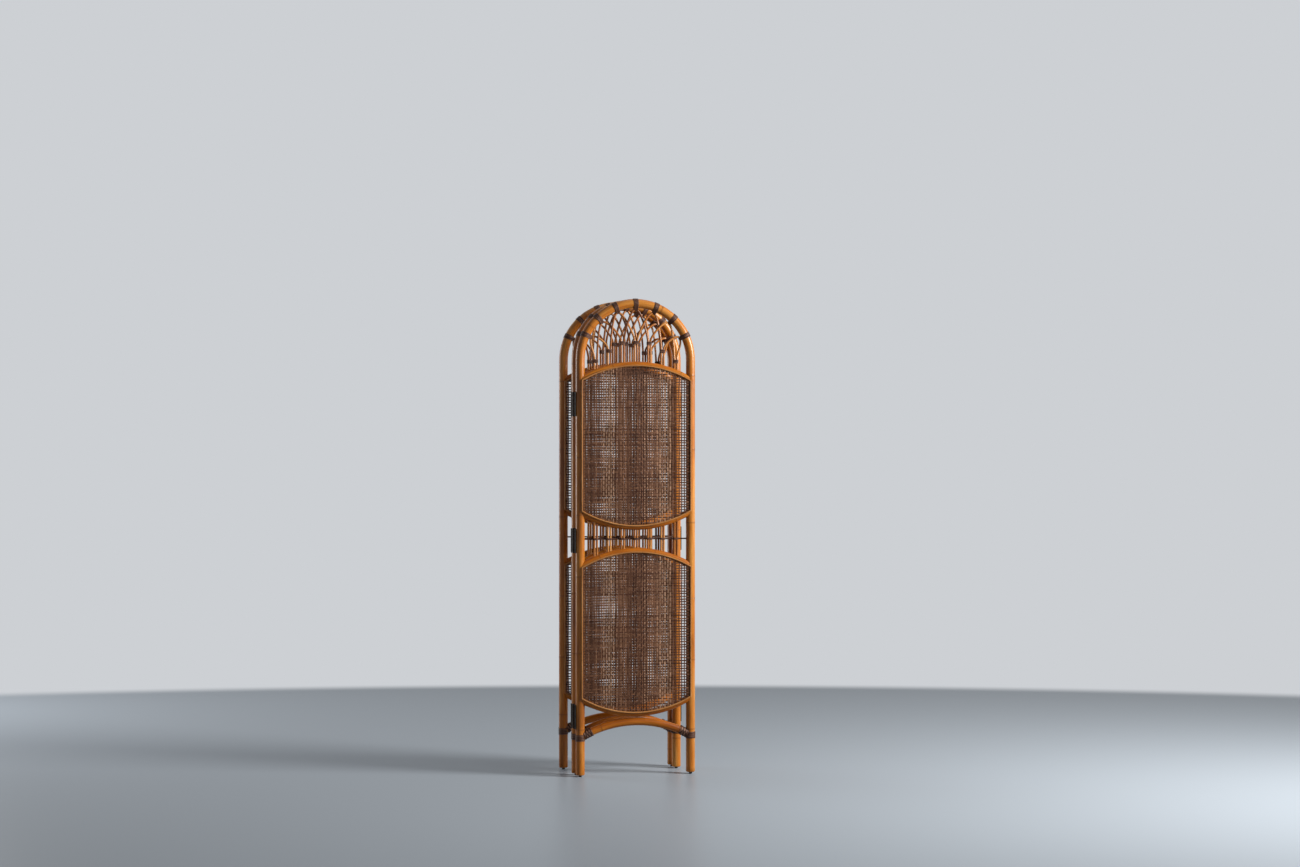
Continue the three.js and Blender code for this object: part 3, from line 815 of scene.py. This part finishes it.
for panel, place in panels.items():
    canes = []
    ties = []
    for pair in range(PAIRS):
        x = (pair - (PAIRS - 1) / 2) * PAIR_PITCH
        for side in (-1, 1):
            cane_x = x + side * CANE_SPACING / 2
            reach = GALLERY_HALF + drop(cane_x)
            ends = [Vector((cane_x, RAIL_Y, -reach)), Vector((cane_x, RAIL_Y, reach))]
            line = [ends[0].lerp(ends[1], i / 6) for i in range(7)]
            canes.append(sweep(places(line, ACROSS), (CANE_RADIUS, CANE_RADIUS), CANE_SIDES))
        for apart in (CROSSING_WIDTH / 2, CROSSING_WIDTH * 1.5):
            crossing = cross_tie(apart)
            crossing.transform(Matrix.Translation((x, RAIL_Y, 0)))
            ties.append(crossing)
    rod_y = RAIL_Y + ROD_BACK
    rod = [Vector((i * POST_X / ROD_STEPS, rod_y, 0)) for i in range(-ROD_STEPS, ROD_STEPS + 1)]
    ties.append(sweep(places(rod, ACROSS), (ROD_RADIUS, ROD_RADIUS), ROD_SIDES))
    seat = place @ Matrix.Translation((0, 0, GALLERY_Z))
    node = f"{panel}_gallery"
    place_piece(f"{panel}_gallery_canes", gather(canes), seat, panel, cane_finish, "cane_rattan", node)
    place_piece(f"{panel}_gallery_rod_and_ties", gather(ties), seat, panel, binding, "binding", node)


# ---- Arch lattice ----
# Over the upper mat the paired canes part, cross their neighbours front and back, and bend over as
# seven hoops under the arch. Dark strip ties each pair, and binds each crown to the arch.

TOP_RAIL_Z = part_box("front_upper_top_rail")[1].z - RAIL_RADIUS
OUTER_PAIR = PAIRS // 2
PARTING_HEIGHTS = (0.080, 0.081, 0.061, 0.039)  # above the rail, from the middle pair outwards
PARTING_ABOVE_TIE = 0.002
TIE_LENGTH = 0.016
CROWN_STEP = math.radians(21.5)  # along the arch, from one hoop's crown to the next
CROWN_REACH = 0.024  # how far a hoop follows the arch before it bends down
CROWN_INWARDS = 0.0229  # from the arch's middle line to a crown's
HOOP_START = 0.018  # how far a cane runs on upwards before it leans over
HOOP_OFFSET = 0.006  # how far crossing canes swing to the front and to the back
GROUND_STEPS = 4
CURVE_STEPS = 16
BAND_LENGTH = 0.021  # along the arch
BAND_WIDTH = 0.0042
BAND_THICKNESS = 0.0014
BAND_STEPS = 32


def on_arch(along, out, y):
    """A point so far along the arch from its top, and so far out from its middle line."""
    turn = along / POST_X
    radius = POST_X + out
    return Vector((radius * math.sin(turn), y, SPRING_Z + radius * math.cos(turn)))


def parting(pair):
    """Where the canes of a pair part."""
    rail_top = TOP_RAIL_Z - drop(pair * PAIR_PITCH) + RAIL_RADIUS
    return rail_top + PARTING_HEIGHTS[abs(pair)]


def near_crown(index, along):
    """A point on a hoop, so far along from its crown, where it still follows the arch."""
    level = Matrix.Rotation(index * CROWN_STEP, 3, "Y")
    return level @ Vector((along, 0, POST_X - CROWN_INWARDS)) + Vector((0, 0, SPRING_Z))


def half_hoop(index, side):
    """Where a hoop's left or right half meets its rail, and the three points that shape it."""
    at_end = index * side == OUTER_PAIR
    pair = index if at_end else index + side
    x = pair * PAIR_PITCH + (side if at_end else -side) * CANE_SPACING / 2
    swing = Vector((0, side * HOOP_OFFSET, 0))
    bottom = Vector((x, RAIL_Y, parting(pair)))
    lean = bottom + Vector((0, 0, HOOP_START)) + swing
    shoulder = near_crown(index, side * CROWN_REACH) + swing
    ground = Vector((x, RAIL_Y, TOP_RAIL_Z - drop(x)))
    return ground, bottom, lean, shoulder


def bezier(a, b, c, d):
    """Points on the curve from a to d that b and c shape, without a itself."""
    made = []
    for i in range(1, CURVE_STEPS + 1):
        t = i / CURVE_STEPS
        made.append(a * (1 - t) ** 3 + b * 3 * t * (1 - t) ** 2 + c * 3 * t * t * (1 - t) + d * t**3)
    return made


def hoop(index):
    """One bent cane: up in front from its left foot, over its crown, and down behind."""
    ground, bottom, lean, shoulder = half_hoop(index, -1)
    far_ground, far_bottom, far_lean, far_shoulder = half_hoop(index, 1)
    top = near_crown(index, 0)
    line = [ground.lerp(bottom, i / GROUND_STEPS) for i in range(GROUND_STEPS + 1)]
    line += bezier(bottom, lean, shoulder, top)
    line += bezier(top, far_shoulder, far_lean, far_bottom)
    line += [far_bottom.lerp(far_ground, i / GROUND_STEPS) for i in range(1, GROUND_STEPS + 1)]
    return sweep(places(line, ACROSS), (CANE_RADIUS, CANE_RADIUS), CANE_SIDES)


def crown_band(index):
    """Turns of strip round the arch and the crown of a hoop under it."""
    rounds = [((0, 0), POLE_RADIUS), ((0, -CROWN_INWARDS), CANE_RADIUS)]
    band = winding(rounds, BAND_WIDTH, BAND_THICKNESS, BAND_LENGTH, BAND_STEPS)
    for v in band.verts:
        v.co = on_arch(index * CROWN_STEP * POST_X + v.co.z, v.co.y, v.co.x)
    bmesh.ops.recalc_face_normals(band, faces=band.faces)
    return band


for panel, place in panels.items():
    node = f"{panel}_arch_lattice"
    hoops = [hoop(i) for i in range(-OUTER_PAIR, OUTER_PAIR + 1)]
    wraps = [crown_band(i) for i in range(-OUTER_PAIR, OUTER_PAIR + 1)]
    for pair in range(-OUTER_PAIR, OUTER_PAIR + 1):
        rounds = [((side * CANE_SPACING / 2, 0), CANE_RADIUS) for side in (-1, 1)]
        tie = winding(rounds, TIE_WIDTH, TIE_THICKNESS, TIE_LENGTH)
        height = parting(pair) - PARTING_ABOVE_TIE - TIE_LENGTH / 2
        tie.transform(Matrix.Translation((pair * PAIR_PITCH, RAIL_Y, height)))
        wraps.append(tie)
    place_piece(f"{panel}_hoops", gather(hoops), place, panel, cane_finish, "cane_rattan", node)
    place_piece(f"{panel}_arch_bindings", gather(wraps), place, panel, binding, "binding", node)


# ---- Hinges ----
# Butt hinges of dull, browned steel, three on each line. One leaf carries two knuckles and the pin
# riveted in them, the other a single long knuckle. Each leaf is let into a post and screwed on.

HINGE_LEVELS = {
    level: middle_of(f"front_hinge_{level}_leaf").z for level in ("bottom", "middle", "top")
}
PIN_OUT = 0.0195
PIN_BACK = 0.024
HINGE_HALF = 0.046
PIN_RADIUS = 0.0025
PIN_STAND = 0.002
KNUCKLE_RADIUS = 0.0045
KNUCKLE_GAP = 0.001
MIDDLE_KNUCKLE = 0.038
KNUCKLE_ROUNDING = 0.0006
PIN_ROUNDING = 0.0012
LEAF_THICKNESS = 0.0022
LEAF_REACH = 0.008  # how far a leaf runs past the post's middle
LEAF_FAR = PIN_BACK + LEAF_REACH
LEAF_FACE = -0.0008  # the leaf's outer face, from the pin's middle
LEAF_RELIEF = 0.0052  # a leaf's edge keeps this far from the pin beside the other's knuckles
LEAF_CORNER = 0.004
LEAF_RIM = 0.0003
SHARP_RIM = 1.2  # radians
TINY = 1e-6
SCREW_HEIGHTS = (-0.034, 0, 0.034)
SCREW_OUT = 0.003  # the outer screws lie this far to one side of the post's middle
SCREW_IN = -0.002  # and the middle one this far to the other
SCREW_RADIUS = 0.0031
SCREW_DEPTH = 0.0008
SCREW_STAND = 0.0006
SCREW_ROUNDING = 0.0004
SLOT_HALF = 0.00045
SLOT_DEPTH = 0.0005


def leaf_plate(has_pin):
    """The flat of a leaf: a plate cut back where the other leaf's knuckles turn."""
    notch = MIDDLE_KNUCKLE / 2 + (KNUCKLE_GAP if has_pin else 0)
    end_edge, middle_edge = (0, -LEAF_RELIEF) if has_pin else (-LEAF_RELIEF, 0)
    outline = [
        (-LEAF_FAR, -HINGE_HALF),
        (end_edge, -HINGE_HALF),
        (end_edge, -notch),
        (middle_edge, -notch),
        (middle_edge, notch),
        (end_edge, notch),
        (end_edge, HINGE_HALF),
        (-LEAF_FAR, HINGE_HALF),
    ]
    plate = bmesh.new()
    corners = [plate.verts.new((LEAF_FACE, y, z)) for y, z in outline]
    plate.faces.new(corners)
    grown = bmesh.ops.extrude_face_region(plate, geom=plate.faces[:])["geom"]
    back = [v for v in grown if isinstance(v, bmesh.types.BMVert)]
    bmesh.ops.translate(plate, verts=back, vec=(-LEAF_THICKNESS, 0, 0))
    outer = [
        e for e in plate.edges
        if all(v.co.y < -LEAF_FAR + TINY for v in e.verts)
        and abs(e.verts[0].co.x - e.verts[1].co.x) > TINY
    ]
    bmesh.ops.bevel(
        plate, geom=outer, offset=LEAF_CORNER, segments=5, profile=0.5, affect="EDGES", material=-1
    )
    bmesh.ops.recalc_face_normals(plate, faces=plate.faces)
    rims = [e for e in plate.edges if e.calc_face_angle(0) > SHARP_RIM]
    bmesh.ops.bevel(
        plate, geom=rims, offset=LEAF_RIM, segments=2, profile=0.5, affect="EDGES", material=-1
    )
    return plate


def screw(y, z):
    """A slotted countersunk screw head, flush with the leaf's outer face."""
    head = barrel(-SCREW_DEPTH, SCREW_STAND, SCREW_RADIUS, SCREW_ROUNDING)
    for side in (-1, 1):
        everything = head.verts[:] + head.edges[:] + head.faces[:]
        edge = (side * SLOT_HALF, 0, 0)
        bmesh.ops.bisect_plane(head, geom=everything, plane_co=edge, plane_no=(1, 0, 0))
    top = []
    for face in head.faces:
        centre = face.calc_center_median()
        if face.normal.z > 0.9 and abs(centre.x) < SLOT_HALF and centre.z > 0:
            top.append(face)
    sunk = bmesh.ops.extrude_face_region(head, geom=top)["geom"]
    bmesh.ops.delete(head, geom=top, context="FACES")
    bottom = [v for v in sunk if isinstance(v, bmesh.types.BMVert)]
    bmesh.ops.translate(head, verts=bottom, vec=(0, 0, -SLOT_DEPTH))
    head.transform(Matrix.Rotation(chance.uniform(0, 3.1), 4, "Z"))
    head.transform(Matrix.Translation((LEAF_FACE, y, z)) @ Matrix.Rotation(math.pi / 2, 4, "Y"))
    bmesh.ops.recalc_face_normals(head, faces=head.faces)
    return head


def hinge_leaf(has_pin):
    """A whole leaf, about the middle of its pin: plate, knuckles, screws and perhaps the pin."""
    notch = MIDDLE_KNUCKLE / 2 + (KNUCKLE_GAP if has_pin else 0)
    pieces = [leaf_plate(has_pin)]
    if has_pin:
        pieces.append(barrel(-HINGE_HALF, -notch, KNUCKLE_RADIUS, KNUCKLE_ROUNDING))
        pieces.append(barrel(notch, HINGE_HALF, KNUCKLE_RADIUS, KNUCKLE_ROUNDING))
        pin_end = HINGE_HALF + PIN_STAND
        pieces.append(barrel(-pin_end, pin_end, PIN_RADIUS, PIN_ROUNDING))
    else:
        pieces.append(barrel(-notch, notch, KNUCKLE_RADIUS, KNUCKLE_ROUNDING))
    for z in SCREW_HEIGHTS:
        pieces.append(screw(-PIN_BACK + (SCREW_OUT if z else SCREW_IN), z))
    return gather(pieces)


leaf_meshes = {"pin_leaf": hinge_leaf(True), "leaf": hinge_leaf(False)}
for line, face, near, far in (("front", 1, "front", "middle"), ("rear", -1, "middle", "rear")):
    for level, height in HINGE_LEVELS.items():
        for kind, panel, side in (("pin_leaf", near, -1), ("leaf", far, 1)):
            node = f"{line}_hinge_{level}_{kind}"
            seat = Matrix.Translation((side * (POST_X + PIN_OUT), face * PIN_BACK, height))
            seat = seat @ Matrix.Rotation(0 if side * face > 0 else math.pi, 4, "X")
            seat = seat @ Matrix.Rotation(0 if side > 0 else math.pi, 4, "Z")
            mesh = leaf_meshes[kind]
            place_piece(
                f"{node}_steel", mesh, panels[panel] @ seat, panel, steel, "aged_steel", node, smooth=False
            )


# ---- Glides ----
# A small black nylon button is nailed under each post, so that the screen slides and the poles'
# ends stay off the floor.

GLIDE_RADIUS = 0.006
GLIDE_ROUNDING = 0.001
GLIDE_SIDES = 24


def nylon_finish():
    """Black nylon, scuffed paler in places."""
    made, tree, shader = new_finish("black_nylon", Roughness=0.5, Specular_IOR_Level=0.4)
    where = add(tree, "TexCoord").outputs["Object"]
    scuff = add(tree, "TexNoise", {"Vector": where, "Scale": 300, "Detail": 3}).outputs["Fac"]
    colours = ramp(tree, scuff, (0.35, stain(24, 22, 21)), (0.7, stain(52, 49, 46)))
    tree.links.new(colours, shader.inputs["Base Color"])
    return made


nylon = nylon_finish()
glide_mesh = gather([barrel(0, FOOT_Z, GLIDE_RADIUS, GLIDE_ROUNDING, GLIDE_SIDES)])
for panel, place in panels.items():
    for side, sign in (("left", -1), ("right", 1)):
        seat = Matrix.Translation((sign * POST_X, 0, 0))
        node = f"{panel}_{side}_glide"
        place_piece(f"{node}_button", glide_mesh, place @ seat, panel, nylon, "black_nylon", node)


# ---- Floor, light and camera ----
# A plain pale studio floor that runs out into a pale backdrop, soft light from the right and above,
# and a level camera nine metres away at chest height.

FLOOR_STAIN = stain(143, 151, 159)
BACKDROP_STAIN = stain(205, 208, 212)
AMBIENT = 0.14
FLOOR_RADIUS = 14
FLOOR_ENDS = 2.95  # where the floor starts to run out into the backdrop, across its oval
BACKDROP_STARTS = 3.25
CAMERA_TURN = math.radians(11.7)
CAMERA_BACK = Vector((-1.787, -8.898, 1.291))  # from the middle of the front panel's foot
LIT_POINT = Vector((0, 0, 0.9))


def seen_directly(tree):
    """1 for what the camera sees, also in a gloss or through glass, and 0 for what lights things."""
    rays = add(tree, "LightPath").outputs
    first = add(tree, "Math", {0: rays["Is Camera Ray"], 1: rays["Is Glossy Ray"]}, operation="MAXIMUM")
    both = {0: first.outputs[0], 1: rays["Is Transmission Ray"]}
    return add(tree, "Math", both, operation="MAXIMUM").outputs[0]


floor_shape = bmesh.new()
bmesh.ops.create_circle(floor_shape, cap_ends=True, segments=96, radius=FLOOR_RADIUS)
floor_mesh = bpy.data.meshes.new("floor")
floor_shape.to_mesh(floor_mesh)
floor_shape.free()
floor = bpy.data.objects.new("floor", floor_mesh)
bpy.context.scene.collection.objects.link(floor)

floor_finish, tree, shader = new_finish("studio_floor", Roughness=0.36, Specular_IOR_Level=0.06)
shader.inputs["Base Color"].default_value = FLOOR_STAIN
where = add(tree, "TexCoord").outputs["Object"]
oval = add(tree, "Mapping", {"Vector": where, "Rotation": (0, 0, -CAMERA_TURN), "Scale": (2, 1, 1)})
oval.vector_type = "TEXTURE"
far_off = add(tree, "VectorMath", {0: oval.outputs[0]}, operation="LENGTH").outputs["Value"]
outskirts = {"Value": far_off, "From Min": FLOOR_ENDS, "From Max": BACKDROP_STARTS}
away = add(tree, "MapRange", outskirts)
away.interpolation_type = "SMOOTHSTEP"
glow = add(tree, "MapRange", {"Value": seen_directly(tree), "To Min": AMBIENT, "To Max": 1.0})
backdrop = add(tree, "Emission", {"Color": BACKDROP_STAIN, "Strength": glow.outputs[0]})
runs_out = add(tree, "MixShader", {0: away.outputs[0], 1: shader.outputs[0], 2: backdrop.outputs[0]})
tree.links.new(runs_out.outputs[0], tree.nodes["Material Output"].inputs["Surface"])
floor_mesh.materials.append(floor_finish)

world = bpy.data.worlds.new("studio")
bpy.context.scene.world = world
world.use_nodes = True
sky = world.node_tree
seen = sky.nodes["Background"]
seen.inputs["Color"].default_value = BACKDROP_STAIN
lighting = add(sky, "Background", {"Color": (0.92, 0.95, 1.0, 1), "Strength": AMBIENT})
chosen = add(sky, "MixShader", {0: seen_directly(sky), 1: lighting.outputs[0], 2: seen.outputs[0]})
sky.links.new(chosen.outputs[0], sky.nodes["World Output"].inputs["Surface"])


def soft_light(name, position, size, power, colour=(1, 1, 1)):
    """A round lamp turned towards the middle of the screen."""
    lamp = bpy.data.lights.new(name, "AREA")
    lamp.shape = "DISK"
    lamp.size = size
    lamp.energy = power
    lamp.color = colour
    holder = bpy.data.objects.new(name, lamp)
    bpy.context.scene.collection.objects.link(holder)
    holder.location = position
    holder.rotation_euler = (LIT_POINT - Vector(position)).to_track_quat("-Z", "Y").to_euler()


soft_light("window", (3.3, -1.88, 2.45), 1.4, 290, (1.0, 0.975, 0.945))
soft_light("ceiling", (0.8, 0.6, 5.0), 2.4, 14)
soft_light("bounce", (-3.6, 2.6, 1.6), 2.6, 80)

camera_data = bpy.data.cameras.new("camera")
camera_data.sensor_width = 36
camera_data.lens = 66.5
camera = bpy.data.objects.new("camera", camera_data)
bpy.context.scene.collection.objects.link(camera)
camera.location = panels["front"].translation + CAMERA_BACK
camera.rotation_euler = (math.pi / 2, 0, -CAMERA_TURN)
bpy.context.scene.camera = camera
bpy.context.scene.view_settings.view_transform = "Standard"
